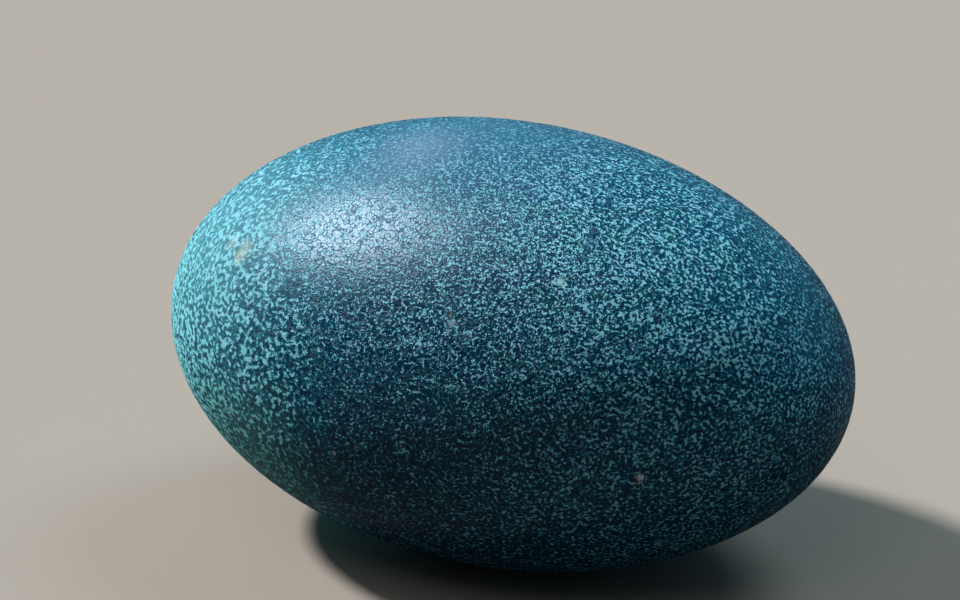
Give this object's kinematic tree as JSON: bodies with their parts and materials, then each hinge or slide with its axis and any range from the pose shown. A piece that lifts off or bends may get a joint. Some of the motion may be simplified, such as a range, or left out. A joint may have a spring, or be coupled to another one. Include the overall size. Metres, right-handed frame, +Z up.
{
  "type": "emu egg",
  "caption": "Whole emu egg lying on its side, a long oval of dark teal shell with pale turquoise speckle, resting on a small flat spot.",
  "frame": {"origin": "on the plane of the flat resting spot, under the middle of the egg", "axes": "+Z up, +X along the egg towards its slimmer end, which dips 1.5 degrees, +Y across the egg"},
  "size_m": [0.138, 0.0874, 0.0871],
  "materials": {
    "eggshell": "satin, pebbled: dark teal raised grains over a pale turquoise ground"
  },
  "bodies": {
    "root": {"egg": "eggshell"}
  },
  "joints": []
}
